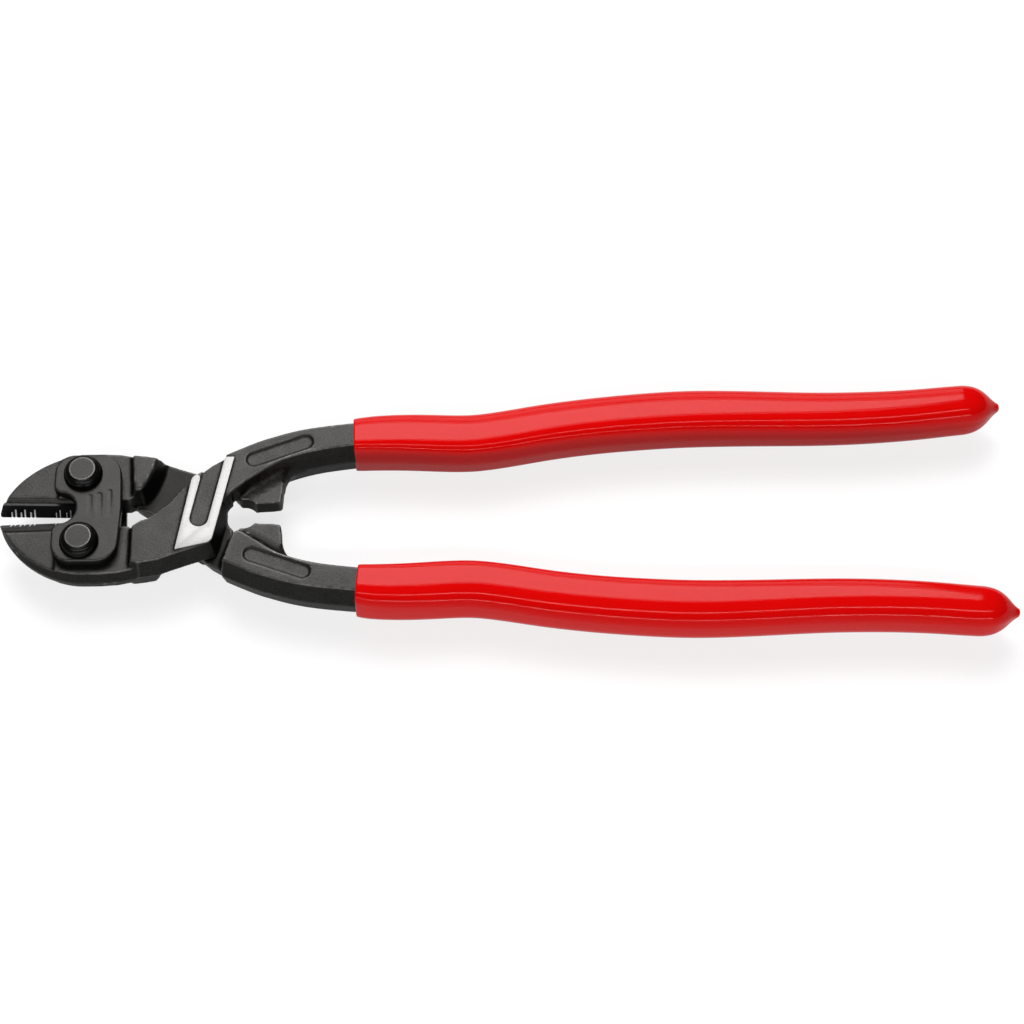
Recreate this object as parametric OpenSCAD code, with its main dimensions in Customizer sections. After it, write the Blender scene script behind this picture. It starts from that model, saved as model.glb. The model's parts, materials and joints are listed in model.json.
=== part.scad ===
// Compact bolt cutters, 250 mm long.
// Two identical forged levers, one turned over on the other, swing on one rivet each.
// The two rivets hold the levers between a front and a back link plate.
// Behind the plates the levers cross at half thickness, so each jaw meets the far handle.
// X runs from the jaws to the handles, Y across them, Z through the thickness.
// The tool lies on its back rivet heads; the origin is under the middle of its box.

/* [Overall] */
// Length from the jaw tips to the grip ends
overall_l = 250; // [235:1:300]
// Distance between the two rivets
pivot_gap = 18.8; // [18:0.1:20]
// Reach of the jaws in front of the rivets
jaw_l = 20.9; // [18:0.1:25]

/* [Jaws] */
// Depth of the closed head from the middle line to its outer edge
jaw_depth = 17.7; // [17:0.1:20]
// Thickness of each cutting jaw
jaw_t = 6.1; // [5:0.1:7]
// Distance of each cutting edge from the middle line at the tip
edge_tip_gap = 1.15; // [1:0.05:1.6]
// Distance of each cutting edge from the middle line at the rivets
edge_root_gap = 0.55; // [0.45:0.05:0.9]
// Depth of the ground bevel behind the cutting edge
bevel_depth = 2.1; // [1.5:0.1:2.8]
// Half thickness of the blade at the back of the bevel
bevel_half_t = 2.3; // [1.8:0.1:2.4]
// Depth of the step from the cutting edge to the full face
step_depth = 3.9; // [3.2:0.1:4.6]
// Slope of the jaw's forged rim, as a width from parting line to face
jaw_draft = 0.8; // [0.4:0.1:1.2]

/* [Rivets] */
// Diameter of the rivet shanks
shank_d = 6.4; // [5:0.1:7]
// Diameter of a rivet head where it meets the plate
head_d = 9.7; // [8.5:0.1:11]
// Diameter of the flat on top of a rivet head
head_flat_d = 6.6; // [5:0.1:7.5]
// Height of a rivet head above the plate
head_h = 2.8; // [2:0.1:3.5]
// Running clearance of a lever on its rivet, on the radius
rivet_play = 0.05; // [0.02:0.01:0.1]

/* [Link plates] */
// Thickness of each link plate
plate_t = 3; // [2.5:0.1:3.4]
// Reach of the plates in front of the rivets
plate_front = 7.1; // [6.5:0.1:8]
// Reach of the plates behind the rivets at the corners
plate_back = 9.1; // [8:0.1:9.4]
// How far the back edge of a plate bows out past its corners
plate_bow = 0.7; // [0.2:0.1:0.9]
// Margin of plate outside each rivet axis, across the tool
plate_margin = 5.5; // [5.2:0.1:6]
// Radius of the corners of a plate
plate_corner_r = 5; // [3.5:0.1:5.2]
// Radius of the round notch at the front of each plate
notch_r = 3.8; // [3:0.1:3.9]
// Radius of the two horns beside the notch
horn_r = 1.9; // [1.4:0.1:2.2]
// Free play between a plate and the lever under it
plate_play = 0.1; // [0.05:0.01:0.15]
// Thickness of the levers between the plates
land_t = 7.2; // [6.6:0.1:7.6]

/* [Crossing] */
// Gap between the two half-thickness arms that slide past each other
lap_gap = 0.3; // [0.2:0.05:0.5]
// Slope of the forged sides, as a width from parting line to face
draft = 1.5; // [0.6:0.1:1.8]
// Front of the thick part of each lever behind the plates
cheek_x = 12.6; // [12.2:0.1:13.4]
// Place of the ground stripe along the tool, at its foot
stripe_x = 23.4; // [23:0.1:25]
// Width of the ground stripe along the tool
stripe_w = 9.1; // [8:0.1:9.4]
// Height of the ground stripe above the forged face beside it
stripe_rise = 0.35; // [0.2:0.05:0.6]
// Width of the bare recess that parts the stripe
stripe_recess_w = 4.7; // [3.6:0.1:5]
// Radius of the meshing nose that keeps the levers in step
mesh_r = 1.3; // [1:0.05:1.5]
// Clearance round the meshing nose
mesh_play = 0.35; // [0.3:0.05:0.5]

/* [Gripping jaws] */
// Thickness of the gripping jaws behind the crossing
grip_jaw_t = 4.8; // [4:0.1:6]
// Opening between the gripping jaws at their front edge
grip_jaw_gap = 5.2; // [5.1:0.1:6.5]
// Length of the gripping faces
grip_jaw_l = 6; // [4:0.1:7]
// Radius of the round wire recess in front of the gripping jaws
wire_r = 4; // [3.6:0.1:4.2]
// Width of the hollow forged slope between a gripping jaw and its arm
hollow_w = 4; // [3:0.1:4.5]

/* [Handles] */
// Thickness of the forged levers behind the plates
arm_t = 12.4; // [12:0.1:12.8]
// Half width of the arm faces where the grips begin
arm_face = 3.1; // [2.8:0.05:3.6]
// Distance of the handle centre lines from the middle line at their roots
handle_root = 10.7; // [10.4:0.1:11]
// Distance of the handle centre lines from the middle line where the grips begin
handle_waist = 20.3; // [19:0.1:22]
// Distance of the handle centre lines from the middle line at the ends
handle_spread = 29; // [27:0.5:34]
// Width of the bare recesses in the faces of the arms
arm_recess_w = 4.1; // [3:0.1:4.4]
// Depth of the bare recesses in the faces of the arms
arm_recess_depth = 0.4; // [0.2:0.1:0.8]
// Place behind the rivets where the grips begin
grip_x = 67.2; // [64:0.1:72]
// Thickness of the dipped grip
grip_wall = 0.7; // [0.5:0.05:1]
// Length of solid grip past the end of the steel
grip_end = 12; // [10:0.5:16]
// Greatest half width of the grip faces, in the palm
palm_face = 4.8; // [4.4:0.1:5.2]

/* [Hidden] */
$fn = 64;

steel = [0.30, 0.29, 0.28];
red_dip = [0.80, 0.06, 0.05];

pivot_x = jaw_l - overall_l / 2;
pivot_y = pivot_gap / 2;
end_x = overall_l - jaw_l;
plate_z = land_t / 2 + plate_play;
stack_half = plate_z + plate_t + head_h;
arm_z = arm_t / 2;
lap_z = lap_gap / 2;
grip_play = 0.05;

// How full the outer curve of the jaws is: 2 would be an ellipse
jaw_fullness = 1.75;
// Height of the blunt nose of each jaw at the tip
tip_h = 1.6;
// Lean of the ground stripe across the tool, as X over Y
stripe_lean = 0.205;
// Half width of the gap between the levers behind the rivets
heel_gap = 3.65;
// The wire recess and the gripping jaws lie just behind the crossing
wire_x = stripe_x + 15.9;
grip_jaw_x = wire_x + 3.4;

// Moves a piece drawn about the middle of the rivets into the frame of the tool
module at_joint() {
    translate([pivot_x, 0, stack_half]) children();
}

// Turns a piece over about the long axis, as the second lever lies on the first
module turned_over() {
    rotate([180, 0, 0]) children();
}

// Points on an arc from angle a0 to a1 about centre c
function arc(c, r, a0, a1, n = 8) =
    [for (i = [0:n]) let (a = a0 + (a1 - a0) * i / n) c + r * [cos(a), sin(a)]];

// A smooth curve through the points p, with n steps between neighbours
function spline_point(a, b, c, d, t) =
    0.5 * (2 * b + (c - a) * t + (2 * a - 5 * b + 4 * c - d) * t * t
           + (3 * b - a - 3 * c + d) * t * t * t);
function spline(p, n) =
    let (last = len(p) - 1)
    [for (i = [0:last - 1], k = [0:n - 1])
        spline_point(p[max(i - 1, 0)], p[i], p[i + 1], p[min(i + 2, last)], k / n),
     p[last]];

// Unit vector to the left of the way from a to b
function left_of(a, b) = let (d = b - a) [-d[1], d[0]] / norm(d);

// The outline p, anticlockwise, with every side moved outwards by d
function grown(p, d) =
    let (n = len(p))
    [for (i = [0:n - 1])
        let (u = -left_of(p[(i + n - 1) % n], p[i]), v = -left_of(p[i], p[(i + 1) % n]))
        p[i] + (u + v) * d / (1 + u * v)];

// The outline p as a ring at height z
function ring(p, z) = [for (q = p) [q[0], q[1], z]];

// A closed solid through rings of as many points, anticlockwise seen from the last ring
module loft(rings) {
    m = len(rings);
    n = len(rings[0]);
    sides = [for (i = [0:m - 2], k = [0:n - 1])
        [i * n + k, (i + 1) * n + k, (i + 1) * n + (k + 1) % n, i * n + (k + 1) % n]];
    first = [for (k = [0:n - 1]) k];
    last = [for (k = [n - 1:-1:0]) (m - 1) * n + k];
    polyhedron([for (r = rings) each r], concat(sides, [first, last]), convexity = 8);
}

// A forged slab with sloped sides: outline p at height z1, wider by d at height z0
module forged(p, z0, z1, d) {
    wide = ring(grown(p, d), z0);
    face = ring(p, z1);
    loft(z0 < z1 ? [wide, face] : [face, wide]);
}

// A bar along the path p, whose section i is the ring of [side, height] points s[i]
module swept(p, s) {
    n = len(p);
    loft([for (i = [0:n - 1])
        let (side = left_of(p[max(i - 1, 0)], p[min(i + 1, n - 1)]))
        [for (q = s[i]) [p[i][0] + side[0] * q[0], p[i][1] + side[1] * q[0], q[1]]]]);
}

// Section of a bare arm: flat faces and sides that slope out to the parting line
function arm_section(face, half_t, slope) =
    [[-face, half_t], [-face - slope, 0], [-face, -half_t],
     [face, -half_t], [face + slope, 0], [face, half_t]];

// Section of a dipped grip: the same form with soft corners of radius r
function grip_section(face, half_t, slope, r) =
    let (half = [[r - face, half_t], [-face - 0.4 * slope, half_t - r], [-face - slope, r / 2],
                 [-face - slope, -r / 2], [-face - 0.4 * slope, r - half_t], [r - face, -half_t]])
    concat(half, [for (i = [5:-1:0]) [-half[i][0], half[i][1]]]);

// The handle's centre line runs from the crossing to the start of the grip, then sweeps
// in, out in the palm, in again and out to its end: each pair is a share of the way
root_start = [wire_x - 2.1, handle_root];
grip_start = [grip_x, handle_waist];
handle_end = [end_x, handle_spread];
root_way = [[0, 0], [0.13, 0.235], [0.3, 0.52], [0.5, 0.74], [0.71, 0.885]];
palm_way = [[0, 0], [0.04, 0.063], [0.08, 0.075], [0.125, 0.03], [0.175, 0], [0.22, 0.09],
            [0.255, 0.207], [0.3, 0.362], [0.353, 0.506], [0.45, 0.69], [0.544, 0.753],
            [0.636, 0.713], [0.73, 0.672], [0.82, 0.713], [0.895, 0.828], [0.956, 0.931],
            [0.985, 0.977], [1, 1]];
function along(way, a, b) = [for (k = way) [a[0] + k[0] * (b - a)[0], a[1] + k[1] * (b - a)[1]]];
handle_line = spline(concat(along(root_way, root_start, grip_start),
                            along(palm_way, grip_start, handle_end)), 3);
grip_line = [for (p = handle_line) if (p[0] >= grip_x - 0.01) p];
tang_end = end_x - grip_end;
arm_recess = along([[0.163, 0.27], [0.583, 0.77]], root_start, grip_start);

// Half width of the grip's faces at x
function grip_face(x) =
    lookup((x - grip_x) / (end_x - grip_x),
           [[0, arm_face + grip_wall], [0.04, arm_face + grip_wall + 0.35],
            [0.1, palm_face - 0.25], [0.3, palm_face - 0.15], [0.5, palm_face],
            [0.65, palm_face - 0.4], [0.85, palm_face - 0.85], [1, palm_face - 1.2]]);
// Half width of the steel's faces at x: bare up to the grip, then a wall thinner than it
function steel_face(x) =
    x > grip_x - 0.01 ? grip_face(x) - grip_wall
    : arm_face + lookup((x - root_start[0]) / (grip_x - root_start[0]),
                        [[0, 1.4], [0.15, 1], [0.35, 0.35], [0.7, 0.1], [1, 0]]);
// How far the drip end of the grip has drawn in at x, from 1 to 0 at the tip
drip_l = 9;
function drip(x) = x < end_x - drip_l ? 1 : max(0.06, 1 - pow(1 - (end_x - x) / drip_l, 1.8));

// The steel of a handle up to x1, larger all round by play
module handle_steel(x1, play = 0) {
    line = [for (p = handle_line) if (p[0] < x1) p];
    swept(line, [for (p = line) arm_section(steel_face(p[0]) + play, arm_z + play, draft)]);
}

// Outline of the jaw and the flat land of a lever, its rim drawn in by d
function head_outline(d) =
    let (reach = jaw_l - 0.6 * d, depth = jaw_depth - d)
    concat([[0.5 - reach, -edge_tip_gap], [-reach, -tip_h]],
           [for (a = [10:5:90])
               [-reach * pow(cos(a), 2 / jaw_fullness), -depth * pow(sin(a), 2 / jaw_fullness)]],
           [[4.7, -depth], [9, 0.3 - depth], [cheek_x + 1.8, 1.5 - depth],
            [cheek_x + 1.8, -heel_gap - 2], [11.2, -heel_gap], [8, -heel_gap],
            [3.5, -edge_root_gap - 0.4], [0, -edge_root_gap]]);

// The head, its rim sloped on both sides of the parting line and its faces ground flat
module head() {
    over = head_outline(2 * jaw_draft * land_t / jaw_t);
    intersection() {
        loft([ring(over, -land_t), ring(head_outline(0), 0), ring(over, land_t)]);
        cube([2 * overall_l, 4 * jaw_depth, land_t], center = true);
    }
}

// What is taken off one side of the head in front of the plates, to leave the jaw thinner
module jaw_cut() {
    translate([-overall_l, -jaw_depth - 1, jaw_t / 2])
        cube([overall_l + 1 - plate_front, jaw_depth + 1, land_t]);
}

// The ground cutting edge: what is cut away in front of one side of the bevel
module bevel_cut() {
    run = [jaw_l, edge_tip_gap - edge_root_gap];
    translate([0, -edge_root_gap, 0]) rotate([0, 0, atan2(run[1], run[0])])
        translate([-jaw_l - 2, 0, 0]) rotate([90, 0, 90]) linear_extrude(jaw_l + 0.5)
            polygon([[2, 0], [0, 0], [-bevel_depth, bevel_half_t],
                     [-bevel_depth - 0.7, bevel_half_t - 0.1], [-step_depth, jaw_t / 2],
                     [-step_depth, land_t], [2, land_t]]);
}

// The half-thickness arm in front of the middle plane, at its face
cheek = [[cheek_x, -14.5], [14.4, -15.2], [19.2, -14.3], [stripe_x - 0.5, -12.9],
         [stripe_x + 8.4, -9.8], [stripe_x + 9, -8.4], [stripe_x + 11.3, 2.2],
         [stripe_x + 13.7, 4.6], [stripe_x + 16.5, 7], [stripe_x + 19, 12],
         [stripe_x + 16, 15.6], [stripe_x + 13.5, 14.3], [stripe_x + 11.4, 13.4],
         [stripe_x + 8.3, 11.5], [stripe_x + 3.1, 7], [21.8, 1.1], [18.6, -1.7],
         [16.4, -3.3], [14.4, -3.8], [cheek_x, -heel_gap - 1.4]];

// The block behind the middle plane that makes a lever full thickness at the plates
block = [[cheek_x - 0.6, -14.9], [18.1, -14.2], [17.9, -12.7], [17.2, -10.4], [16.4, -8.3],
         [15.2, -6.2], [14.2, -5.2], [cheek_x, -heel_gap - 1.6]];

// The root of the handle behind the middle plane, at its face
root_block = [[wire_x - 3.7, 12.8], [wire_x - 1.9, 7.2], [wire_x - 0.6, 6.5],
              [wire_x + 3.8, 10], [wire_x + 5.2, 12], [wire_x + 6, 19.2],
              [wire_x + 2.1, 17.8], [wire_x - 1.2, 15.9], [wire_x - 3.2, 14.1]];

// A bar with round ends, w wide, from a to b
module capsule(a, b, w) {
    way = b - a;
    translate(a) rotate(atan2(way[1], way[0])) {
        circle(d = w);
        translate([0, -w / 2]) square([norm(way), w]);
        translate([norm(way), 0]) circle(d = w);
    }
}

// The stripe ground bright across the crossing, parted by a bare recess open at the top
module stripe_outline() {
    top = 13.9;
    foot = -11.9;
    right = stripe_x + stripe_w;
    lean = stripe_lean * (top - foot);
    recess_foot = [stripe_x + 5.6, -3.35];
    difference() {
        polygon([[stripe_x, foot], [right - 0.5, foot + 2.2], [right, foot + 3.5],
                 [right + lean - 0.6, top], [right + lean - 2.4, top],
                 [stripe_x + 5, 9.3], [stripe_x + 3.9, 8.6], [stripe_x + 3.3, 7.3]]);
        capsule(recess_foot, recess_foot + 20 * [stripe_lean, 1], stripe_recess_w);
    }
}

// The gripping jaw behind the wire recess, seen from the front
module grip_jaw_outline() {
    y = grip_jaw_gap / 2;
    rear = grip_jaw_x + grip_jaw_l;
    polygon([[wire_x - 1.2, 1], [grip_jaw_x, y], [rear - 0.2, y + 0.4], [rear + 0.2, y + 1],
             [rear + 0.4, y + 4.8], [rear + 1.2, y + 7.3], [rear + 2.1, y + 9.5],
             [rear - 2, y + 12], [wire_x, y + 9], [wire_x - 1.2, y + 5]]);
}

// The hollow slope on both sides of the gripping jaw, down from the arm's inner edge
shoulder = [[wire_x + 2.4, 9.4], [wire_x + 4.9, 11.1], [wire_x + 7.4, 12.6],
            [wire_x + 7, 13.6], [wire_x + 4.4, 12.1], [wire_x + 1.8, 10.4]];
module hollow_slope() {
    foot = grip_jaw_t / 2 - 0.1;
    half = [ring(grown(shoulder, hollow_w), foot),
            ring(grown(shoulder, 0.35 * hollow_w), foot + 1.3),
            ring(shoulder, arm_z - 0.3)];
    loft(concat([for (i = [2:-1:0]) [for (q = half[i]) [q[0], q[1], -q[2]]]], half));
}

// One forged lever: its jaw below the middle line, its handle above it
module lever() {
    difference() {
        union() {
            head();
            forged(cheek, lap_z, arm_z, draft);
            forged(block, lap_z, -arm_z, draft);
            forged(root_block, 0, -arm_z, draft);
            translate([0, 0, arm_z - 0.5])
                linear_extrude(stripe_rise + 0.5) stripe_outline();
            handle_steel(tang_end);
            hollow_slope();
            linear_extrude(grip_jaw_t, center = true) grip_jaw_outline();
            // The nose that meshes with the other lever
            translate([0, 0, lap_z]) linear_extrude(jaw_t / 2 - lap_z) {
                circle(r = mesh_r);
                translate([-mesh_r, -2]) square([2 * mesh_r, 2]);
            }
        }
        for (side = [0, 1]) mirror([0, 0, side]) {
            jaw_cut();
            bevel_cut();
        }
        // The round wire recess, with a small relief at its front corner
        translate([wire_x, 0, -arm_t]) cylinder(r = wire_r, h = 2 * arm_t);
        translate([wire_x - 1.6, wire_r - 0.3, -arm_t]) cylinder(r = 1, h = 2 * arm_t);
        // The notch for the other lever's nose
        translate([0, 0, -land_t]) cylinder(r = mesh_r + mesh_play, h = land_t + lap_z);
        // The bore for the rivet
        translate([0, -pivot_y, -land_t]) cylinder(d = shank_d + 2 * rivet_play, h = 2 * land_t);
        // Bare recesses in both faces of the arm
        for (side = [0, 1]) mirror([0, 0, side])
            translate([0, 0, arm_z - arm_recess_depth]) linear_extrude(2)
                capsule(arm_recess[0], arm_recess[1], arm_recess_w);
    }
}

module upper_handle_lever() {
    color(steel) at_joint() lever();
}

module lower_handle_lever() {
    color(steel) at_joint() turned_over() lever();
}

// A link plate: rounded corners, a bowed back edge and a round notch at the front
module link_plate() {
    y = pivot_y + plate_margin;
    r = plate_corner_r;
    horn_x = horn_r - plate_front;
    horn_y = notch_r + horn_r + 0.5;
    notch_x = -1.4 - notch_r;
    bow_r = 80;
    bow = arc([plate_back + plate_bow - bow_r, 0], bow_r, -5, 5, 4);
    difference() {
        linear_extrude(plate_t) polygon(concat(
            arc([plate_back - r, r - y], r, 270, 355),
            [for (p = bow) if (abs(p[1]) < y - r) p],
            arc([plate_back - r, y - r], r, 5, 90),
            arc([r - plate_front, y - r], r, 90, 180),
            arc([horn_x, horn_y], horn_r, 180, 255, 5),
            arc([notch_x, 0], notch_r, 80, -80, 12),
            arc([horn_x, -horn_y], horn_r, 105, 180, 5),
            arc([r - plate_front, r - y], r, 180, 270)));
        for (side = [-1, 1])
            translate([0, side * pivot_y, -1]) cylinder(d = shank_d, h = plate_t + 2);
    }
}

module front_link_plate() {
    color(steel) at_joint() translate([0, 0, plate_z]) link_plate();
}

module back_link_plate() {
    color(steel) at_joint() turned_over() translate([0, 0, plate_z]) link_plate();
}

// A rivet: a plain shank between two domed heads with flat tops
module rivet() {
    rim = 0.3;
    seat = plate_z + plate_t;
    flat_r = head_flat_d / 2;
    dome = [for (a = [0:15:90])
        [flat_r + (head_d / 2 - flat_r) * cos(a), seat + rim + (head_h - rim) * sin(a)]];
    half = concat([[shank_d / 2, seat], [head_d / 2, seat]], dome);
    rotate_extrude() polygon(concat(
        [[0, -seat - head_h]],
        [for (i = [len(half) - 1:-1:0]) [half[i][0], -half[i][1]]],
        half, [[0, seat + head_h]]));
}

module upper_rivet() {
    color(steel) at_joint() translate([0, pivot_y, 0]) rivet();
}

module lower_rivet() {
    color(steel) at_joint() translate([0, -pivot_y, 0]) rivet();
}

// A dipped grip: a soft skin round the steel that runs out into a drip end
module grip() {
    soft_r = 1.5;
    difference() {
        swept(grip_line, [for (p = grip_line) let (k = drip(p[0]))
            grip_section(k * grip_face(p[0]), k * (arm_z + grip_wall), k * draft, k * soft_r)]);
        intersection() {
            handle_steel(tang_end + 0.1, grip_play);
            translate([0, 0, -arm_t]) cube([end_x, overall_l, 2 * arm_t]);
        }
    }
}

module upper_grip() {
    color(red_dip) at_joint() grip();
}

module lower_grip() {
    color(red_dip) at_joint() turned_over() grip();
}

upper_handle_lever();
lower_handle_lever();
front_link_plate();
back_link_plate();
upper_rivet();
lower_rivet();
upper_grip();
lower_grip();
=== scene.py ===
import json
import math

import bmesh
import bpy
from mathutils import Matrix, Vector

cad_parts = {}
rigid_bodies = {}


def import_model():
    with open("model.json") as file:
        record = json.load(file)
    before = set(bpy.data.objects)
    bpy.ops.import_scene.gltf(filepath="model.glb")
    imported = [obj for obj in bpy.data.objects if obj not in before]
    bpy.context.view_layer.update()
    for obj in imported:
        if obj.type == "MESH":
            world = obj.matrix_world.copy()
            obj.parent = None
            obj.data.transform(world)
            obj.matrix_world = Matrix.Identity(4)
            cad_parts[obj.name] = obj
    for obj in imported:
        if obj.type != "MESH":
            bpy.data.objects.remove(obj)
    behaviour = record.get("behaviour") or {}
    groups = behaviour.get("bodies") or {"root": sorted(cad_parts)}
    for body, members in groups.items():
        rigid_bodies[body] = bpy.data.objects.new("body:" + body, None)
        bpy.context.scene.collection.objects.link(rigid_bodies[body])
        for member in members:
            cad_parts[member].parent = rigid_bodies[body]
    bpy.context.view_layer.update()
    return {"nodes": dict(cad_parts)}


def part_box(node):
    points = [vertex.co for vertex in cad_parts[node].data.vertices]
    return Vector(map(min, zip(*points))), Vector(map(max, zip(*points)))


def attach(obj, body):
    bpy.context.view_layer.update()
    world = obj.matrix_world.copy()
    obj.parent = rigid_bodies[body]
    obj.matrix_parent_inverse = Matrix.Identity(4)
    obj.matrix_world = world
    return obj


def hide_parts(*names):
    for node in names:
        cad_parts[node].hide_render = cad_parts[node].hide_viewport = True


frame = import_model()

# ---- Forged levers --------------------------------------------------------------------
# Each lever is one drop forging of chrome vanadium steel: cutting jaw, half-thickness
# crossing, gripping jaw and arm, with a tang that runs on inside the grip. It is blasted
# and phosphated black, and its edges keep the small radius that the dies gave them.

MM = 0.001
upper_axis = sum(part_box("upper_rivet"), Vector()) / 2
lower_axis = sum(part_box("lower_rivet"), Vector()) / 2
joint_middle = (upper_axis + lower_axis) / 2


def joint_frame(turned=False):
    """The frame of one lever: millimetres from the middle of the joint, with X towards
    the grips. The second lever is turned over on the first, and so is its frame."""
    turn = Matrix.Rotation(math.pi, 4, "X") if turned else Matrix()
    return Matrix.Translation(joint_middle) @ turn @ Matrix.Scale(MM, 4)


def in_place(bm, turned=False):
    """Takes a mesh drawn in the joint frame to its place."""
    bmesh.ops.transform(bm, verts=bm.verts, matrix=joint_frame(turned))
    bmesh.ops.recalc_face_normals(bm, faces=bm.faces)


def laid_out(name, bm, finishes=()):
    """Makes bm an object in the scene, with a material slot for each finish."""
    mesh = bpy.data.meshes.new(name)
    bm.to_mesh(mesh)
    bm.free()
    for finish in finishes:
        mesh.materials.append(finish)
    obj = bpy.data.objects.new(name, mesh)
    bpy.context.scene.collection.objects.link(obj)
    return obj


def finished(name, bm, body, finishes, stands_for=None, crisp=None):
    """Makes bm a piece that rides on body. Edges sharper than crisp degrees stay crisp."""
    piece = laid_out(name, bm, finishes)
    piece.data.shade_smooth()
    if crisp:
        piece.data.set_sharp_from_angle(angle=math.radians(crisp))
    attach(piece, body)
    if stands_for:
        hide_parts(stands_for)
    return piece


def put(tree, kind, inputs=None, **settings):
    """Adds a node; inputs maps its input names or numbers to values or to outputs."""
    node = tree.nodes.new(kind)
    for key, value in settings.items():
        setattr(node, key, value)
    for key, value in (inputs or {}).items():
        if isinstance(value, bpy.types.NodeSocket):
            tree.links.new(value, node.inputs[key])
        else:
            node.inputs[key].default_value = value
    return node


def effect(name, inputs, outputs):
    """A new node group. Returns it, its inputs node and its outputs node."""
    group = bpy.data.node_groups.new(name, "ShaderNodeTree")
    sockets = group.interface
    for label, kind, value in inputs:
        socket = sockets.new_socket(label, in_out="INPUT", socket_type="NodeSocket" + kind)
        socket.default_value = value
    for label, kind in outputs:
        sockets.new_socket(label, in_out="OUTPUT", socket_type="NodeSocket" + kind)
    return group, group.nodes.new("NodeGroupInput"), group.nodes.new("NodeGroupOutput")


def new_finish(name):
    """A new material. Returns it, its node tree and its shader."""
    finish = bpy.data.materials.new(name)
    finish.use_nodes = True
    return finish, finish.node_tree, finish.node_tree.nodes["Principled BSDF"]


# Blasted grain: fine pits and pale specks over a faint cloudiness
blasted_grain, given, result = effect(
    "blasted grain",
    [
        ("Colour", "Color", (0.03, 0.03, 0.03, 1)),
        ("Grain per metre", "Float", 2600.0),
        ("Contrast", "Float", 0.35),
        ("Roughness", "Float", 0.5),
    ],
    [("Colour", "Color"), ("Roughness", "Float"), ("Height", "Float")],
)
where = put(blasted_grain, "ShaderNodeTexCoord").outputs["Object"]
grain = put(
    blasted_grain,
    "ShaderNodeTexNoise",
    {"Vector": where, "Scale": given.outputs["Grain per metre"], "Detail": 2.0, "Roughness": 0.6},
)
cloud = put(blasted_grain, "ShaderNodeTexNoise", {"Vector": where, "Scale": 230.0, "Detail": 3.0})
grain_swing = put(
    blasted_grain, "ShaderNodeMath", {0: grain.outputs[0], 1: 0.5}, operation="SUBTRACT"
)
cloud_swing = put(
    blasted_grain, "ShaderNodeMath", {0: cloud.outputs[0], 1: 0.5}, operation="SUBTRACT"
)
both_swings = put(
    blasted_grain,
    "ShaderNodeMath",
    {0: cloud_swing.outputs[0], 1: 0.3, 2: grain_swing.outputs[0]},
    operation="MULTIPLY_ADD",
)
shade = put(
    blasted_grain,
    "ShaderNodeMath",
    {0: both_swings.outputs[0], 1: given.outputs["Contrast"], 2: 1.0},
    operation="MULTIPLY_ADD",
)
shaded = put(
    blasted_grain,
    "ShaderNodeVectorMath",
    {0: given.outputs["Colour"], "Scale": shade.outputs[0]},
    operation="SCALE",
)
rougher = put(
    blasted_grain,
    "ShaderNodeMath",
    {0: grain_swing.outputs[0], 1: 0.25, 2: given.outputs["Roughness"]},
    operation="MULTIPLY_ADD",
)
blasted_grain.links.new(shaded.outputs[0], result.inputs["Colour"])
blasted_grain.links.new(rougher.outputs[0], result.inputs["Roughness"])
blasted_grain.links.new(grain.outputs[0], result.inputs["Height"])

# Edge wear and painted light: how far the black coat has rubbed through on outer edges,
# which is partly a painted highlight; painted shade darkening hollows and inner corners;
# and painted shade darkening the side walls, against faces that look up or down
edge_wear_and_painted_light, given, result = effect(
    "edge wear and painted light",
    [("Start", "Float", 0.55), ("Full", "Float", 0.7)],
    [("Mask", "Float"), ("Open", "Float"), ("Flat", "Float")],
)
surface = put(edge_wear_and_painted_light, "ShaderNodeNewGeometry")
outer_edge = surface.outputs["Pointiness"]
upright = put(edge_wear_and_painted_light, "ShaderNodeSeparateXYZ", {0: surface.outputs["Normal"]})
facing = put(edge_wear_and_painted_light, "ShaderNodeMath", {0: upright.outputs["Z"]}, operation="ABSOLUTE")
# Painted shade: side walls come out darker than faces that look up or down
painted_wall_shade = put(
    edge_wear_and_painted_light,
    "ShaderNodeMapRange",
    {"Value": facing.outputs[0], "From Min": 0.6, "From Max": 0.95, "To Min": 0.6},
    interpolation_type="SMOOTHSTEP",
)
where = put(edge_wear_and_painted_light, "ShaderNodeTexCoord").outputs["Object"]
patches = put(edge_wear_and_painted_light, "ShaderNodeTexNoise", {"Vector": where, "Scale": 350.0, "Detail": 2.0})
# The pale outer edges are partly rubbed-through wear and partly a painted highlight
wear_and_highlight_range = {"From Min": given.outputs["Start"], "From Max": given.outputs["Full"]}
rubbed = put(edge_wear_and_painted_light, "ShaderNodeMapRange", {"Value": outer_edge, **wear_and_highlight_range})
patch_share = put(
    edge_wear_and_painted_light,
    "ShaderNodeMapRange",
    {"Value": patches.outputs[0], "From Min": 0.3, "From Max": 0.7, "To Min": 0.4},
)
patchy = put(
    edge_wear_and_painted_light,
    "ShaderNodeMath",
    {0: rubbed.outputs[0], 1: patch_share.outputs[0]},
    operation="MULTIPLY",
)
# Painted shade: hollows and inner corners, where pointiness is low, come out darker
hollow = put(
    edge_wear_and_painted_light,
    "ShaderNodeMapRange",
    {"Value": outer_edge, "From Min": 0.4, "From Max": 0.49, "To Min": 0.15},
)
edge_wear_and_painted_light.links.new(patchy.outputs[0], result.inputs["Mask"])
edge_wear_and_painted_light.links.new(hollow.outputs[0], result.inputs["Open"])
edge_wear_and_painted_light.links.new(painted_wall_shade.outputs[0], result.inputs["Flat"])

WORN_AND_HIGHLIT_EDGE = (0.13, 0.127, 0.122, 1)
# Start and full of the pale edges, part wear and part painted highlight: on struck edges,
# and past all that an edge can reach
WORN_AND_HIGHLIT = (0.505, 0.54)
UNWORN = (2, 3)


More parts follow.
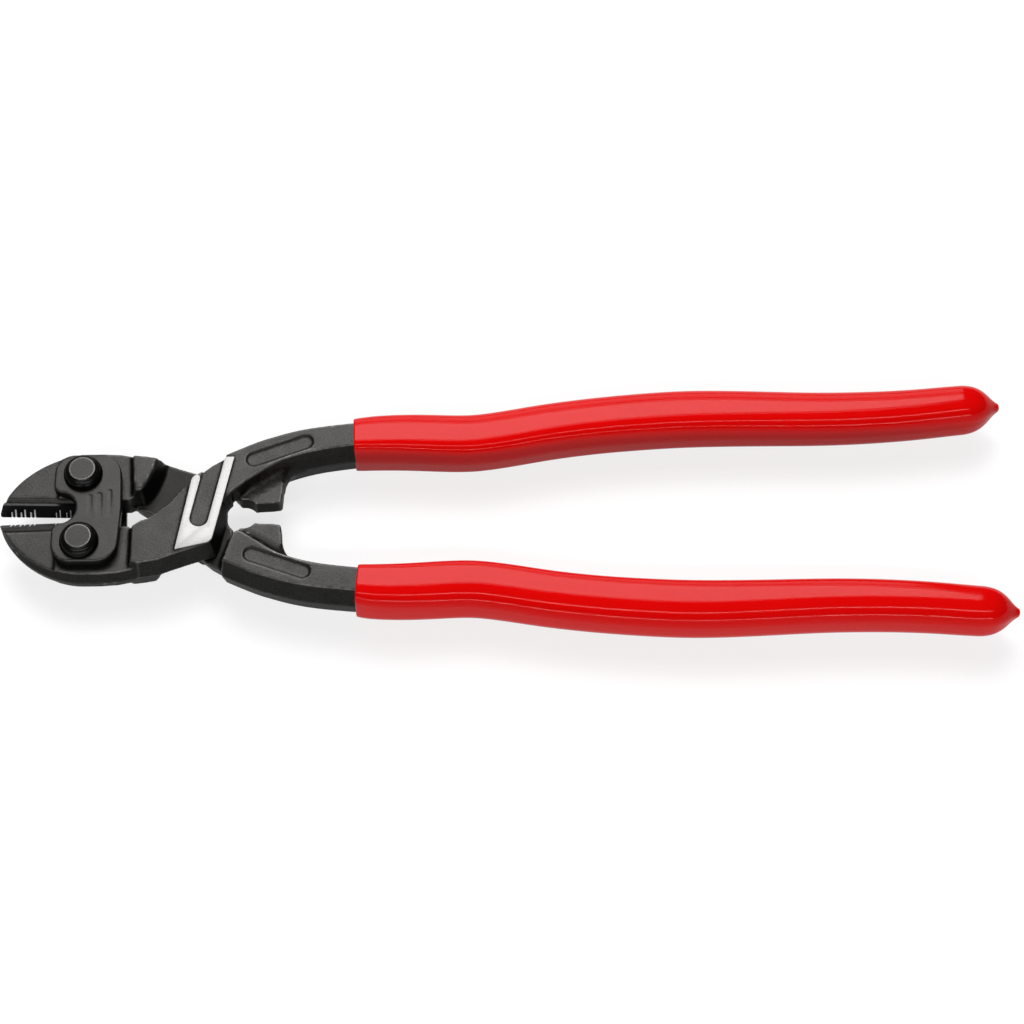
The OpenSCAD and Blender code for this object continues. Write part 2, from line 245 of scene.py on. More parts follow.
def blackened(name, colour, grain, contrast, roughness, relief, wear_and_highlight=UNWORN):
    """A black phosphated finish over steel, paler on its outer edges, partly from wear and
    partly as a painted highlight, and darkened in hollows and on side walls as painted
    shade. The grain is counted per metre, and the relief is its height in millimetres."""
    finish, tree, shader = new_finish(name)
    coat_look = {
        "Colour": (*colour, 1),
        "Grain per metre": grain,
        "Contrast": contrast,
        "Roughness": roughness,
    }
    coat = put(tree, "ShaderNodeGroup", coat_look, node_tree=blasted_grain)
    wear_and_highlight_look = {"Start": wear_and_highlight[0], "Full": wear_and_highlight[1]}
    wear = put(tree, "ShaderNodeGroup", wear_and_highlight_look, node_tree=edge_wear_and_painted_light)
    # Painted shade: the coat is darkened in hollows and on side walls
    lit = put(
        tree,
        "ShaderNodeMath",
        {0: wear.outputs["Open"], 1: wear.outputs["Flat"]},
        operation="MULTIPLY",
    )
    shaded = put(
        tree,
        "ShaderNodeVectorMath",
        {0: coat.outputs["Colour"], "Scale": lit.outputs[0]},
        operation="SCALE",
    )
    # The pale edges mixed in here are partly wear and partly a painted highlight
    bare = put(
        tree,
        "ShaderNodeMix",
        {0: wear.outputs["Mask"], 6: shaded.outputs[0], 7: WORN_AND_HIGHLIT_EDGE},
        data_type="RGBA",
    )
    bump = put(
        tree,
        "ShaderNodeBump",
        {"Height": coat.outputs["Height"], "Distance": relief * MM, "Strength": 0.6},
    )
    tree.links.new(bare.outputs[2], shader.inputs["Base Color"])
    tree.links.new(coat.outputs["Roughness"], shader.inputs["Roughness"])
    tree.links.new(bump.outputs["Normal"], shader.inputs["Normal"])
    shader.inputs["Metallic"].default_value = 0.85
    shader.inputs["Specular IOR Level"].default_value = 0.2
    shader.inputs["Specular Tint"].default_value = (0.5, 0.5, 0.5, 1)
    return finish


# The forging's own skin, and a darker copy of it on the faces that slide on each other at
# the crossing, which paints shade onto them
forged_black = blackened(
    "forged black steel", (0.0255, 0.0249, 0.024), 2300, 2.0, 0.4, 0.07, wear_and_highlight=WORN_AND_HIGHLIT
)
crossing_painted_shade = blackened(
    "crossing face painted shade", (0.0112, 0.0109, 0.0104), 2300, 1.4, 0.4, 0.03, wear_and_highlight=WORN_AND_HIGHLIT
)


def carve(obj, cutters, finish, crossing=False):
    """Cuts the shapes of the bmesh cutters out of obj; the cut faces get their own finish.
    Crossing cutters overlap each other."""
    tool = laid_out("cutter", cutters, [finish])
    cut = obj.modifiers.new("cut", "BOOLEAN")
    cut.operation = "DIFFERENCE"
    cut.solver = "EXACT"
    cut.use_self = crossing
    cut.material_mode = "TRANSFER"
    cut.object = tool
    bpy.context.view_layer.update()
    done = bpy.data.meshes.new_from_object(
        obj.evaluated_get(bpy.context.evaluated_depsgraph_get())
    )
    obj.modifiers.clear()
    old = obj.data
    obj.data = done
    done.name = old.name
    bpy.data.meshes.remove(old)
    bpy.data.objects.remove(tool)


def rub_down(bm, verts, passes):
    """Moves each of the verts half-way to the middle of its neighbours, passes times."""
    for _ in range(passes):
        bmesh.ops.smooth_vert(
            bm, verts=verts, factor=0.5, use_axis_x=True, use_axis_y=True, use_axis_z=True
        )


def worked_over(obj, grid, passes, lie=Matrix()):
    """The mesh of obj on a fine even grid, with every edge rounded a little. The matrix
    lie turns the shape in the grid. Takes obj away."""
    obj.data.transform(lie)
    even = obj.modifiers.new("even", "REMESH")
    even.mode = "VOXEL"
    even.voxel_size = grid * MM
    bm = bmesh.new()
    bm.from_mesh(obj.evaluated_get(bpy.context.evaluated_depsgraph_get()).to_mesh())
    bpy.data.objects.remove(obj)
    rub_down(bm, bm.verts, passes)
    bmesh.ops.transform(bm, verts=bm.verts, matrix=lie.inverted())
    bm.normal_update()
    return bm


def cut_off(bm, at, outward):
    """Cuts away what lies outward of the place at, and closes the cut."""
    cut = bmesh.ops.bisect_plane(
        bm,
        geom=bm.verts[:] + bm.edges[:] + bm.faces[:],
        plane_co=at,
        plane_no=outward,
        clear_outer=True,
    )
    rim = [e for e in cut["geom_cut"] if isinstance(e, bmesh.types.BMEdge)]
    bmesh.ops.holes_fill(bm, edges=rim, sides=0)


# How far the piece runs on inside its grip
TANG_LENGTH = 8
FORGED_GRID = 0.29
# The sliding faces at the crossing lie closer than this to the middle plane; they get the
# painted shade
SLIDING_REACH = 0.6
# The round end of the hollow between the gripping jaw and the arm
HOLLOW_END = Vector((55.2, 7.4, 0))
HOLLOW_END_RADIUS = 5.9
CHEEK_END = [
    # x, y, z, reach: the soft upper edge and slope behind each cheek
    (13.6, -2.6, -6.2, 2.3),
    (14.6, -5.6, -6.2, 2.6),
    (15.8, -8.6, -6.2, 2.7),
    (16.9, -11.6, -6.2, 2.6),
    (18.0, -14.6, -6.2, 2.4),
    (15.3, -4.6, -3.6, 2.3),
    (16.8, -8.4, -3.6, 2.6),
    (18.2, -12.0, -3.6, 2.6),
]
JAW_HOLLOW = [
    # x, y, z, reach: the hollow that runs from each gripping jaw up to its arm
    (41.6, 7.0, 3.4, 3.0),
    (44.0, 8.8, 3.4, 3.2),
    (46.4, 10.4, 3.4, 3.2),
    (48.8, 11.6, 3.2, 3.2),
    (51.2, 12.4, 2.6, 3.0),
    (52.8, 13.0, 1.6, 2.6),
]


def soften(bm, turned, places, passes, depth):
    """Rounds the mesh over within the reach of each place, but no farther than depth from
    the middle plane."""
    for *middle, reach in places:
        middle = joint_frame(turned) @ Vector(middle)
        near = [
            v
            for v in bm.verts
            if abs(v.co.x - middle.x) < reach * MM
            and abs(v.co.z - joint_middle.z) < depth * MM
            and (v.co - middle).length < reach * MM
        ]
        rub_down(bm, near, passes)


def forging(node, grip, turned):
    """The forged lever from its solid: cut off just inside the grip, hollowed behind the
    gripping jaw and struck, so that every edge has a small radius. The faces that slide at
    the crossing get the second finish, a darker one that paints shade onto them."""
    bm = bmesh.new()
    bm.from_mesh(frame["nodes"][node].data)
    bmesh.ops.remove_doubles(bm, verts=bm.verts, dist=0.001 * MM)
    cut_off(bm, (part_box(grip)[0].x + TANG_LENGTH * MM, 0, 0), (1, 0, 0))
    blank = laid_out("rough forging", bm)
    bm = bmesh.new()
    bmesh.ops.create_cone(
        bm,
        cap_ends=True,
        segments=64,
        radius1=HOLLOW_END_RADIUS,
        radius2=HOLLOW_END_RADIUS,
        depth=20,
    )
    bmesh.ops.translate(bm, verts=bm.verts, vec=HOLLOW_END)
    in_place(bm, turned)
    carve(blank, bm, forged_black)
    bm = worked_over(blank, FORGED_GRID, passes=4)
    # The crossing faces get the darker finish as painted shade
    for face in bm.faces:
        height = abs(face.calc_center_median().z - joint_middle.z)
        if height < SLIDING_REACH * MM and abs(face.normal.z) > 0.9:
            face.material_index = 1
    soften(bm, turned, CHEEK_END, passes=14, depth=7)
    soften(bm, turned, JAW_HOLLOW, passes=45, depth=4.9)
    lower_hollow = [(x, y, -z, reach) for x, y, z, reach in JAW_HOLLOW]
    soften(bm, turned, lower_hollow, passes=45, depth=4.9)
    return bm


LEVERS = [
    # piece, body, the grip it carries, lies upside down
    ("upper_handle_lever", "upper_handle", "upper_grip", False),
    ("lower_handle_lever", "lower_handle", "lower_grip", True),
]
for node, body, grip, turned in LEVERS:
    bm = forging(node, grip, turned)
    piece = node.replace("lever", "forging")
    finished(piece, bm, body, [forged_black, crossing_painted_shade], node)

# ---- Ground stripes -------------------------------------------------------------------
# Across the crossing each forging is ground bright, leaving a stripe that is parted by a
# bare sunk panel. The grinding marks run along the tool.

ground_bright, tree, shader = new_finish("ground bright steel")
where = put(tree, "ShaderNodeTexCoord").outputs["Object"]
drawn_out = put(tree, "ShaderNodeMapping", {"Vector": where, "Scale": (900, 3600, 900)})
lines = put(
    tree, "ShaderNodeTexNoise", {"Vector": drawn_out.outputs[0], "Scale": 1.0, "Detail": 4.0}
)
spread = {"From Min": 0.25, "From Max": 0.75, "To Min": 0.39, "To Max": 0.475}
tone = put(tree, "ShaderNodeMapRange", {"Value": lines.outputs[0], **spread})
tint = put(
    tree,
    "ShaderNodeVectorMath",
    {0: (1.0, 0.985, 0.965), "Scale": tone.outputs[0]},
    operation="SCALE",
)
polish = put(
    tree, "ShaderNodeMapRange", {"Value": lines.outputs[0], "To Min": 0.42, "To Max": 0.58}
)
scratches = put(
    tree, "ShaderNodeBump", {"Height": lines.outputs[0], "Distance": 0.01 * MM, "Strength": 0.5}
)
tree.links.new(tint.outputs[0], shader.inputs["Base Color"])
tree.links.new(polish.outputs[0], shader.inputs["Roughness"])
tree.links.new(scratches.outputs[0], shader.inputs["Normal"])
shader.inputs["Metallic"].default_value = 0.35
shader.inputs["Specular IOR Level"].default_value = 0.2


def blank_face(bm, corners):
    """A flat face in millimetres with a corner at each (x, y, radius)."""
    verts = [bm.verts.new((x, y, 0)) for x, y, _ in corners]
    bm.faces.new(verts)
    for radius in sorted({r for _, _, r in corners if r}):
        bmesh.ops.bevel(
            bm,
            geom=[v for v, c in zip(verts, corners) if c[2] == radius],
            offset=radius,
            offset_type="OFFSET",
            segments=10,
            profile=0.5,
            affect="VERTICES",
            material=-1,
        )


def draw_out(bm, way):
    """Draws the faces out along the vector way into a closed solid."""
    far = bmesh.ops.extrude_face_region(bm, geom=bm.faces[:], use_keep_orig=True)["geom"]
    bmesh.ops.translate(
        bm, verts=[v for v in far if isinstance(v, bmesh.types.BMVert)], vec=way
    )


def thicken(bm, foot, top, edge_radius, segments):
    """Makes the flat faces a slab from foot to top with its edges rounded over."""
    bmesh.ops.translate(bm, verts=bm.verts, vec=(0, 0, foot))
    draw_out(bm, (0, 0, top - foot))
    bmesh.ops.recalc_face_normals(bm, faces=bm.faces)
    rims = [
        e
        for e in bm.edges
        if abs(e.verts[0].co.z - e.verts[1].co.z) < 1e-6 and e.calc_face_angle(0) > 1
    ]
    bmesh.ops.bevel(
        bm,
        geom=rims,
        offset=edge_radius,
        offset_type="OFFSET",
        segments=segments,
        profile=0.5,
        affect="EDGES",
        material=-1,
        clamp_overlap=True,
    )


STRIPE_FOOT, STRIPE_TOP = 5.7, 6.58
STRIPE = [
    # x, y, radius of the corner
    (23.4, -11.9, 0.35),
    (32.0, -9.75, 0.8),
    (32.5, -8.4, 0.3),
    (37.15, 13.85, 0.15),
    (35.4, 13.85, 0.1),
    (34.85, 13.5, 0),
    (30.83, -6.12, 2.3),
    (26.23, -5.18, 2.3),
    (28.95, 8.1, 0.75),
    (28.3, 9.1, 0.7),
    (26.9, 8.2, 0.7),
]
for node, body, grip, turned in LEVERS:
    bm = bmesh.new()
    blank_face(bm, STRIPE)
    thicken(bm, STRIPE_FOOT, STRIPE_TOP, edge_radius=0.07, segments=2)
    in_place(bm, turned)
    finished(node.replace("lever", "ground_stripe"), bm, body, [ground_bright], crisp=30)

# ---- Cutting edges --------------------------------------------------------------------
# The cutting edges are ground on both sides of each jaw and left dark from hardening.
# Small notches across the bevels stop round wire from slipping out.

ground_dark = blackened(
    "hardened cutting edge", (0.024, 0.023, 0.023), 4200, 0.6, 0.3, 0.02, wear_and_highlight=(0.8, 0.9)
)
# The notches show bare steel, made brighter than that as a painted glint
notch_bare_and_glint, tree, shader = new_finish("bare notch steel and painted glint")
where = put(tree, "ShaderNodeTexCoord").outputs["Object"]
specks = put(tree, "ShaderNodeTexNoise", {"Vector": where, "Scale": 3000.0, "Detail": 2.0})
tone = put(
    tree, "ShaderNodeMapRange", {"Value": specks.outputs[0], "To Min": 0.35, "To Max": 0.6}
)
tree.links.new(tone.outputs[0], shader.inputs["Base Color"])
shader.inputs["Roughness"].default_value = 0.5

EDGE_ROOT = Vector((0.6, -0.53, 0))
EDGE_TIP = Vector((-20.9, -1.15, 0))
EDGE_SECTION = [
    # distance into the jaw, distance from the middle plane
    (0, 0),
    (2.1, 2.38),
    (2.85, 2.28),
    (2.85, -2.28),
    (2.1, -2.38),
]
NOSE_CUTS = [
    # place, direction outwards
    ((-20.38, -1.15, 0), (-0.45, 0.5, 0)),
    ((-20.87, -1.6, 0), (-1, -0.45, 0)),
]
# The block that the grinding takes away from the forging
GROUND_SIZE = (24, 4, 8, 1)
GROUND_MIDDLE = (-11.7, -0.46, 0)
GROUND_LEAN = 0.0288
BEVEL_TURN = math.atan2(2.3, 2.1)
NOTCHES = [-18.0, -17.05, -15.7, -14.75, -13.3, -12.3, -7.0, -6.05, -4.45, -3.45]
# The notches on the nose side of this place are the wide ones
WIDE_NOTCHES_END = -8
WIDE_RADIUS, NARROW_RADIUS = 0.27, 0.17
LONG_NOTCH, SHORT_NOTCH = 2.1, 1.4
# The line of the notches: its height at the joint, its rise along the jaw, and how far
# the rods stand off the bevel
NOTCH_HEIGHT, NOTCH_RISE, NOTCH_LIFT = -0.55, 0.0292, 0.1


def cutting_edge():
    """The ground edge of a jaw: its section drawn along the jaw, the nose cut to shape."""
    bm = bmesh.new()
    corners = [bm.verts.new(EDGE_ROOT + Vector((0, -depth, z))) for depth, z in EDGE_SECTION]
    bm.faces.new(corners)
    draw_out(bm, EDGE_TIP - EDGE_ROOT)
    for place, outward in NOSE_CUTS:
        cut_off(bm, place, outward)
    return bm


def notch_cutters():
    """A tapered rod for each notch: long and short ones in turn, on both bevels."""
    bm = bmesh.new()
    for side in (1, -1):
        for i, x in enumerate(NOTCHES):
            length = LONG_NOTCH if (i % 2 == 0) == (side > 0) else SHORT_NOTCH
            radius = WIDE_RADIUS if x < WIDE_NOTCHES_END else NARROW_RADIUS
            rod = bmesh.ops.create_cone(
                bm,
                cap_ends=True,
                segments=16,
                radius1=radius,
                radius2=0.75 * radius,
                depth=2 * length,
            )["verts"]
            upward = Vector((0, math.sin(BEVEL_TURN), side * math.cos(BEVEL_TURN)))
            place = Vector((x, NOTCH_HEIGHT + NOTCH_RISE * x, 0)) + upward * NOTCH_LIFT
            along_bevel = Matrix.Rotation(math.pi / 2 - side * BEVEL_TURN, 4, "X")
            bmesh.ops.transform(bm, verts=rod, matrix=Matrix.Translation(place) @ along_bevel)
    return bm


def ground_away():
    """What the grinding takes off a jaw, so that the cutting edge piece fills its place."""
    bm = bmesh.new()
    bmesh.ops.create_cube(bm, size=1)
    lean = Matrix.Rotation(GROUND_LEAN, 4, "Z")
    place = Matrix.Translation(GROUND_MIDDLE) @ lean @ Matrix.Diagonal(GROUND_SIZE)
    bmesh.ops.transform(bm, verts=bm.verts, matrix=place)
    return bm


for node, body, grip, turned in LEVERS:
    bm = ground_away()
    in_place(bm, turned)
    carve(bpy.data.objects[node.replace("lever", "forging")], bm, forged_black)
    bm = cutting_edge()
    in_place(bm, turned)
    piece = node.replace("lever", "cutting_edge")
    edge = finished(piece, bm, body, [ground_dark])
    bm = notch_cutters()
    in_place(bm, turned)
    carve(edge, bm, notch_bare_and_glint, crossing=True)
    edge.data.set_sharp_from_angle(angle=math.radians(30))

# ---- Link plates ----------------------------------------------------------------------
# The two link plates are stamped from 3 mm steel and blackened. Each has a round notch
# at the throat and rolled edges, and the front one has three shallow pressed slots.

stamped_black = blackened(
    "stamped black steel", (0.0235, 0.0229, 0.022), 2400, 1.4, 0.38, 0.04
)
# A paler copy of the coat, painted as a highlight on rolled edges and rivet rims
painted_edge_highlight = blackened("painted edge highlight", (0.07, 0.068, 0.066), 2400, 1.0, 0.4, 0.03)
PLATE_FOOT, PLATE_TOP = 3.7, 6.7
PLATE_ROLL = 0.4
PLATE_GRID = 0.17
# The grid lies askew, so that none of its rows follows an edge of the plate
ASKEW = Matrix.Rotation(0.3, 4, "Z") @ Matrix.Rotation(0.2, 4, "X")
PLATE = [
    # x, y, radius of the corner
    (-7.1, 14.9, 4.9),
    (-7.1, 4.7, 1.7),
    (-1.4, 3.6, 3.4),
    (-1.4, -3.6, 3.4),
    (-7.1, -4.7, 1.7),
    (-7.1, -14.9, 4.9),
    (9.0, -14.9, 4.9),
    (9.55, -6.0, 0),
    (9.8, 0, 0),
    (9.55, 6.0, 0),
    (9.0, 14.9, 4.9),
]
# How far the face of a die hangs below the line it is tilted on
DIE_DROP = 0.08
DIE_TILT = 0.012
SLOTS = [
    # foot x, foot y, top x, top y, width
    (2.25, -3.3, 1.85, 3.7, 1.2),
    (4.55, -3.6, 4.2, 4.2, 1.45),
    (7.1, -3.1, 6.8, 5.0, 1.0),
]


def slot_dies():
    """The three dies that press the slots, each deepest at its round top end."""
    bm = bmesh.new()
    for foot_x, foot_y, top_x, top_y, width in SLOTS:
        die = bmesh.new()
        length = top_y - foot_y
        half, round_end = width / 2, width * 0.48
        blank_face(
            die,
            [
                (-half, 0, 0.2),
                (half, 0, 0.2),
                (half, length, round_end),
                (-half, length, round_end),
            ],
        )
        thicken(die, -DIE_DROP, 0.5, edge_radius=0.03, segments=2)
        lean = Matrix.Rotation(math.atan2(foot_x - top_x, length), 4, "Z")
        tilt = Matrix.Rotation(-DIE_TILT, 4, "X")
        lie = Matrix.Translation((foot_x, foot_y, PLATE_TOP + DIE_DROP)) @ lean @ tilt
        bmesh.ops.transform(die, verts=die.verts, matrix=lie)
        stamp = bpy.data.meshes.new("stamp")
        die.to_mesh(stamp)
        die.free()
        bm.from_mesh(stamp)
        bpy.data.meshes.remove(stamp)
    in_place(bm)
    return bm


for node, turned in (("front_link_plate", False), ("back_link_plate", True)):
    bm = bmesh.new()
    blank_face(bm, PLATE)
    thicken(bm, PLATE_FOOT, PLATE_TOP, PLATE_ROLL, segments=4)
    in_place(bm, turned)
    blank = laid_out("blank plate", bm)
    if not turned:
        carve(blank, slot_dies(), stamped_black)
    bm = worked_over(blank, PLATE_GRID, 1, ASKEW)
    # The rolled edges get the paler finish as a painted highlight
    for face in bm.faces:
        on_rolled_edge = 0.5 < abs(face.normal.z) < 0.92
        face.material_index = int(on_rolled_edge)
    piece = node.replace("link", "stamped")
    finished(piece, bm, "hinge_block", [stamped_black, painted_edge_highlight], node)

# ---- Rivets ---------------------------------------------------------------------------
# A rivet is turned from steel bar: a plain shank between two domed heads with flat tops.
# The back head is formed last. It is blackened too, but smoother than the forgings.

turned_black = blackened(
    "turned black steel", (0.014, 0.0136, 0.0131), 3600, 0.5, 0.27, 0.012
)
HEAD = [
    # radius, height over the middle of the tool
    (0, 9.5),
    (2.9, 9.5),
    (3.08, 9.5),
    (3.2, 9.48),
    (3.3, 9.42),
    (3.37, 9.33),
    (3.5, 9.22),
    (3.68, 9.14),
    (3.9, 9.02),
    (4.14, 8.82),
    (4.36, 8.55),
    (4.54, 8.22),
    (4.68, 7.84),
    (4.78, 7.4),
    (4.83, 7.05),
    (4.8, 6.9),
    (4.7, 6.78),
    (4.55, 6.73),
    (3.2, 6.73),
]
# A paler ring is painted as a highlight on the rim of the flat top, between these two radii
HIGHLIT_FROM, HIGHLIT_TO = 2.9, 3.25
for node, axis in (("upper_rivet", upper_axis), ("lower_rivet", lower_axis)):
    bm = bmesh.new()
    line = [bm.verts.new((radius, 0, z)) for radius, z in HEAD]
    line += [bm.verts.new((radius, 0, -z)) for radius, z in reversed(HEAD)]
    edges = [bm.edges.new(pair) for pair in zip(line, line[1:])]
    bmesh.ops.spin(
        bm,
        geom=line + edges,
        cent=(0, 0, 0),
        axis=(0, 0, 1),
        angle=2 * math.pi,
        steps=96,
        use_merge=True,
    )
    bmesh.ops.remove_doubles(bm, verts=bm.verts, dist=1e-4)
    for face in bm.faces:
        if HIGHLIT_FROM < face.calc_center_median().to_2d().length < HIGHLIT_TO:
            face.material_index = 1
    bmesh.ops.translate(bm, verts=bm.verts, vec=(axis - joint_middle) / MM)
    in_place(bm)
    piece = node.replace("rivet", "headed_rivet")
    finished(piece, bm, "hinge_block", [turned_black, painted_edge_highlight], node)

# ---- Dipped grips ---------------------------------------------------------------------
# Each handle is dipped in red plastic, which sets to a glossy skin with soft edges and
# runs out at the end into a small drip. The section is the forging's own, only fuller.

THICK_RED = (0.56, 0.001, 0.001, 1)
THIN_RED = (0.61, 0.0015, 0.0015, 1)
red_dip, tree, shader = new_finish("red dipped plastic")
where = put(tree, "ShaderNodeTexCoord").outputs["Object"]
depth = put(tree, "ShaderNodeTexNoise", {"Vector": where, "Scale": 45.0, "Detail": 2.0})
hue = put(
    tree, "ShaderNodeMix", {0: depth.outputs[0], 6: THICK_RED, 7: THIN_RED}, data_type="RGBA"
)
peel = put(tree, "ShaderNodeTexNoise", {"Vector": where, "Scale": 160.0, "Detail": 1.0})
gloss = put(
    tree, "ShaderNodeMapRange", {"Value": peel.outputs[0], "To Min": 0.08, "To Max": 0.12}
)
dimples = put(
    tree, "ShaderNodeBump", {"Height": peel.outputs[0], "Distance": 0.01 * MM, "Strength": 0.2}
)
tree.links.new(hue.outputs[2], shader.inputs["Base Color"])
tree.links.new(gloss.outputs[0], shader.inputs["Roughness"])
tree.links.new(dimples.outputs[0], shader.inputs["Normal"])
shader.inputs["Specular IOR Level"].default_value = 0.08

GRIP_LINE = [
    # distance behind the rivets, distance from the middle line, half width of the
    # section at its faces and at its fullest, radius of its corners
    (67.35, 20.38, 4.1, 5.4, 1.9),
    (70.0, 20.62, 4.32, 5.65, 2.0),
    (73.0, 20.82, 4.55, 5.88, 2.15),
    (79.6, 20.9, 4.81, 6.13, 2.4),
    (85.5, 20.65, 4.94, 6.25, 2.5),
    (90.5, 20.4, 4.99, 6.3, 2.6),
    (96.0, 20.3, 5.02, 6.32, 2.7),
    (101.6, 21.0, 5.03, 6.33, 2.8),
    (108.0, 22.15, 5.06, 6.33, 2.85),
    (115.0, 23.5, 5.1, 6.33, 2.95),
    (124.0, 24.75, 5.15, 6.34, 3.05),
    (132.0, 25.6, 5.24, 6.38, 3.15),
    (143.0, 26.45, 5.38, 6.45, 3.3),
    (152.0, 26.8, 5.43, 6.46, 3.45),
    (162.0, 26.7, 5.32, 6.3, 3.55),
    (172.0, 26.45, 5.2, 6.13, 3.7),
    (180.0, 26.2, 5.11, 6.0, 3.85),
    (190.0, 26.2, 5.06, 5.88, 3.95),
    (201.0, 26.6, 4.95, 5.72, 4.15),
    (209.0, 27.2, 4.88, 5.6, 4.25),
    (215.0, 27.85, 4.82, 5.52, 4.3),
    (219.0, 28.2, 4.75, 5.44, 4.35),
]
DRIP = [
    # distance from the tip, share of the section that is left
    (9.1, 1.0),
    (7.2, 0.95),
    (6.0, 0.885),
    (4.6, 0.76),
    (3.3, 0.59),
    (2.2, 0.39),
    (1.3, 0.255),
    (0.6, 0.18),
    (0.15, 0.125),
]
# How far the tip of the drip is behind the rivets
TIP = 229.15
HALF_HEIGHT = 6.9
# How the drip carries on away from the middle line, for each millimetre along the handle
DRIP_RISE = 0.08
CORNER_STEPS = 6
# How much of its fullness the inner side keeps
INNER_SHARE = 0.6
# What the palm side adds to the half width at its faces, at its fullest and to the corner
PALM_FACE, PALM_FULL, PALM_CORNER = -0.05, 0.1, 1.8
LARGEST_CORNER = 4.9
# The front face bulges a little within a narrow rim
RIM, BULGE = 0.22, 0.12


def quarter(face, full, height, radius):
    """A quarter of the section: a flat face, a rounded corner and a side that slopes out
    to the parting line. Given from the middle of the face to the parting line."""
    slope = math.atan2(full - face, height)
    turn = math.pi / 2 - slope
    back = radius * math.tan(turn / 2)
    centre = (face - back, height - radius)
    points = [(0, height), (0.5 * centre[0], height), (0.92 * centre[0], height)]
    for i in range(CORNER_STEPS + 1):
        angle = turn * i / CORNER_STEPS
        points.append(
            (centre[0] + radius * math.sin(angle), centre[1] + radius * math.cos(angle))
        )
    foot_y, foot_z = points[-1]
    points += [
        (foot_y + (full - foot_y) * share, foot_z * (1 - share)) for share in (0.15, 0.6, 1.0)
    ]
    return points


def half_section(face, full, radius):
    """Half of the section, from the inner side over the top to the palm side, which is
    rounder and stands upright."""
    inner = quarter(face, face + INNER_SHARE * (full - face), HALF_HEIGHT, radius)
    corner = min(radius + PALM_CORNER, LARGEST_CORNER)
    palm = quarter(full + PALM_FACE, full + PALM_FULL, HALF_HEIGHT, corner)
    return [(-a, b) for a, b in reversed(inner[1:])] + palm


def dipped_grip(start, lean):
    """The grip's section drawn along the handle and drawn in to the drip end. Its front
    face stands at the distance start, and leans by that angle."""
    stations = [(x, y, half_section(*sizes)) for x, y, *sizes in GRIP_LINE]
    stations[0] = (start, *stations[0][1:])
    last_x, last_y, last_points = stations[-1]
    for to_tip, left in DRIP:
        x = TIP - to_tip
        y = last_y + DRIP_RISE * (x - last_x)
        stations.append((x, y, [(a * left, b * left) for a, b in last_points]))
    bm = bmesh.new()
    rings = []
    for i, (x, y, points) in enumerate(stations):
        before, after = stations[max(i - 1, 0)], stations[min(i + 1, len(stations) - 1)]
        heading = math.atan2(after[1] - before[1], after[0] - before[0]) if i else lean
        place = Matrix.Translation((x, y, 0)) @ Matrix.Rotation(heading, 4, "Z")
        loop = points + [(a, -b) for a, b in reversed(points[1:-1])]
        verts = [bm.verts.new(place @ Vector((0, a, b))) for a, b in loop]
        rings.append([bm.edges.new(pair) for pair in zip(verts, verts[1:] + verts[:1])])
    for here, there in zip(rings, rings[1:]):
        bmesh.ops.bridge_loops(bm, edges=here + there)
    bmesh.ops.holes_fill(bm, edges=rings[0] + rings[-1], sides=0)
    front = [f for f in bm.faces if len(f.verts) > 4 and f.calc_center_median().x < TIP / 2]
    bmesh.ops.inset_region(bm, faces=front, thickness=RIM, depth=BULGE)
    bmesh.ops.inset_region(bm, faces=front, thickness=0.3, depth=0.0)
    return bm


FRONT_ENDS = {
    # where the skin starts, and how far its front face leans in radians
    "upper_grip": (66.75, 0.03),
    "lower_grip": (68.0, 0.09),
}
for node, body, grip, turned in LEVERS:
    bm = dipped_grip(*FRONT_ENDS[grip])
    in_place(bm, turned)
    piece = grip.replace("grip", "dipped_grip")
    skin = finished(piece, bm, body, [red_dip], grip)
    flow = skin.modifiers.new("flow", "SUBSURF")
    flow.levels = flow.render_levels = 2

# ---- Floor, lamps and camera ----------------------------------------------------------
# A plain pale floor under soft lamps. Four of them stand over each other behind the tool,
# whose flat faces mirror them, and two narrow strips in front draw the lines on the grips.

FLOOR_GREY = (0.28, 0.28, 0.28, 1)
# What the floor adds of its own where it is seen, to come out white
FLOOR_GLOW = 0.72
pale, tree, shader = new_finish("pale floor")
tree.nodes.clear()
rays = put(tree, "ShaderNodeLightPath").outputs
direct = {0: rays["Is Camera Ray"], 1: rays["Is Glossy Ray"]}
seen = put(tree, "ShaderNodeMath", direct, operation="MAXIMUM")
through = {0: seen.outputs[0], 1: rays["Is Transmission Ray"]}
seen = put(tree, "ShaderNodeMath", through, operation="MAXIMUM")
glow = put(tree, "ShaderNodeMath", {0: seen.outputs[0], 1: FLOOR_GLOW}, operation="MULTIPLY")
matt = put(tree, "ShaderNodeBsdfDiffuse", {"Color": FLOOR_GREY})
white = put(tree, "ShaderNodeEmission", {"Color": (1, 1, 1, 1), "Strength": glow.outputs[0]})
together = put(tree, "ShaderNodeAddShader", {0: matt.outputs[0], 1: white.outputs[0]})
put(tree, "ShaderNodeOutputMaterial", {"Surface": together.outputs[0]})
bm = bmesh.new()
bmesh.ops.create_grid(bm, x_segments=1, y_segments=1, size=12)
bmesh.ops.translate(bm, verts=bm.verts, vec=(0, 0, -0.05 * MM))
laid_out("floor", bm, [pale])

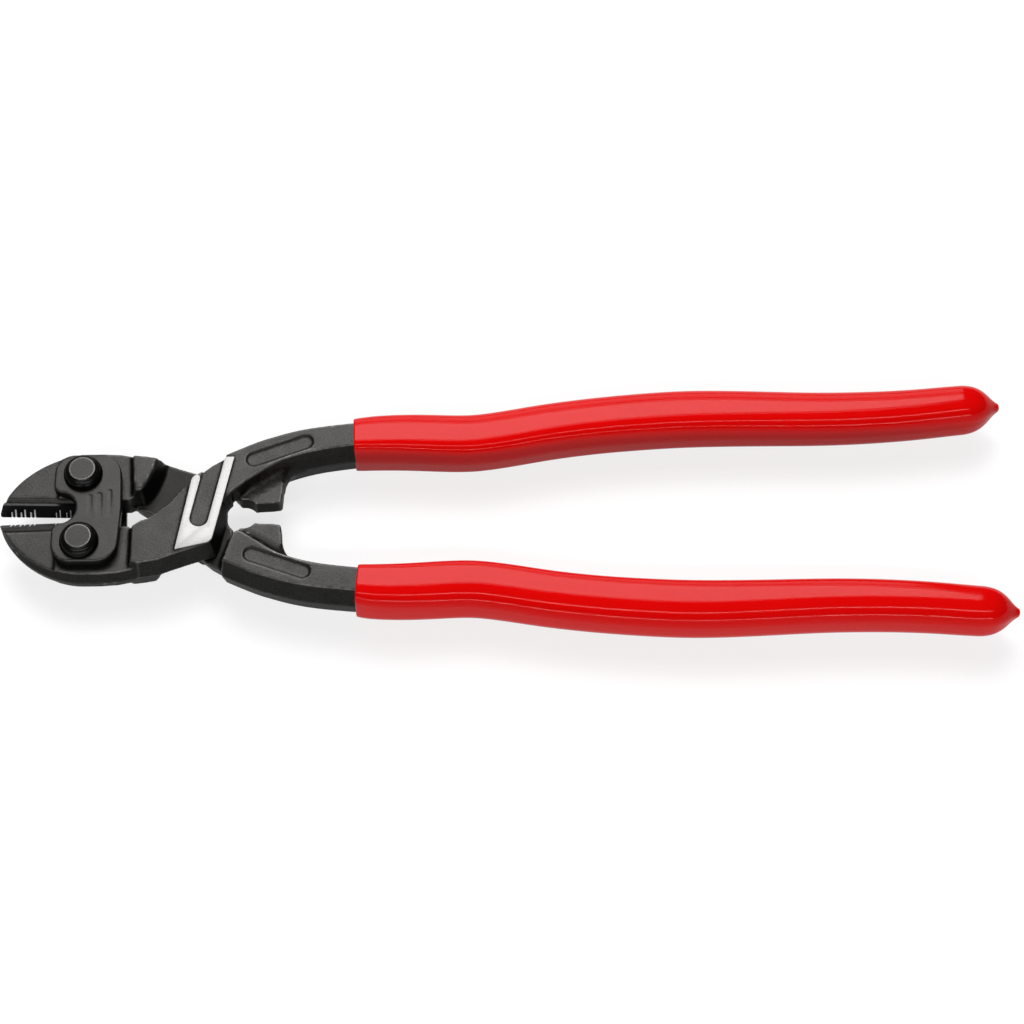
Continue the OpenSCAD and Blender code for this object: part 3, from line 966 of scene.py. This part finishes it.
scene = bpy.context.scene
scene.world = bpy.data.worlds.new("studio")
scene.world.use_nodes = True
sky = scene.world.node_tree.nodes["Background"]
sky.inputs["Color"].default_value = (1, 1, 1, 1)
sky.inputs["Strength"].default_value = 0.1

# The middle of the view, which the lamps face too
aim = joint_middle + Vector((105.84, 0.807, 0)) * MM
LAMPS = [
    # name, azimuth from +Y, elevation, distance, width, height, radiance, moved along X
    ("back wall", 0, 22, 1.1, 0.7, 0.6, 3.0, -0.05),
    ("back foot", 0, 45, 1.1, 0.7, 0.19, 4.5, -0.05),
    ("back softbox", 0, 58, 1.1, 0.7, 0.3, 11.0, -0.05),
    ("top softbox", 0, 72, 1.1, 0.7, 0.23, 4.0, -0.05),
    ("front strip", 180, 50, 1.2, 1.5, 0.09, 18.0, 0),
    ("low strip", 180, 5, 1.2, 1.5, 0.09, 16.0, 0),
]
for name, azimuth, elevation, distance, width, height, radiance, aside in LAMPS:
    light = bpy.data.lights.new(name, "AREA")
    light.shape = "RECTANGLE"
    light.size, light.size_y = width, height
    light.energy = radiance * math.pi * width * height
    a, e = math.radians(azimuth), math.radians(elevation)
    away = Vector((math.sin(a) * math.cos(e), math.cos(a) * math.cos(e), math.sin(e)))
    lamp = bpy.data.objects.new(name, light)
    lamp.location = aim + away * distance + Vector((aside, 0, 0))
    lamp.rotation_euler = away.to_track_quat("Z", "Y").to_euler()
    scene.collection.objects.link(lamp)

TILT, ROLL = math.radians(28.74), math.radians(0.733)
CAMERA_DISTANCE = 0.74006
lens = bpy.data.cameras.new("camera")
lens.sensor_width = 36
lens.lens = 104.98
lens.clip_start, lens.clip_end = 0.01, 50
camera = bpy.data.objects.new("camera", lens)
scene.collection.objects.link(camera)
camera.matrix_world = (
    Matrix.Translation(aim + Vector((0, -math.sin(TILT), math.cos(TILT))) * CAMERA_DISTANCE)
    @ Matrix.Rotation(TILT, 4, "X")
    @ Matrix.Rotation(-ROLL, 4, "Z")
)
scene.camera = camera
scene.view_settings.view_transform = "Standard"
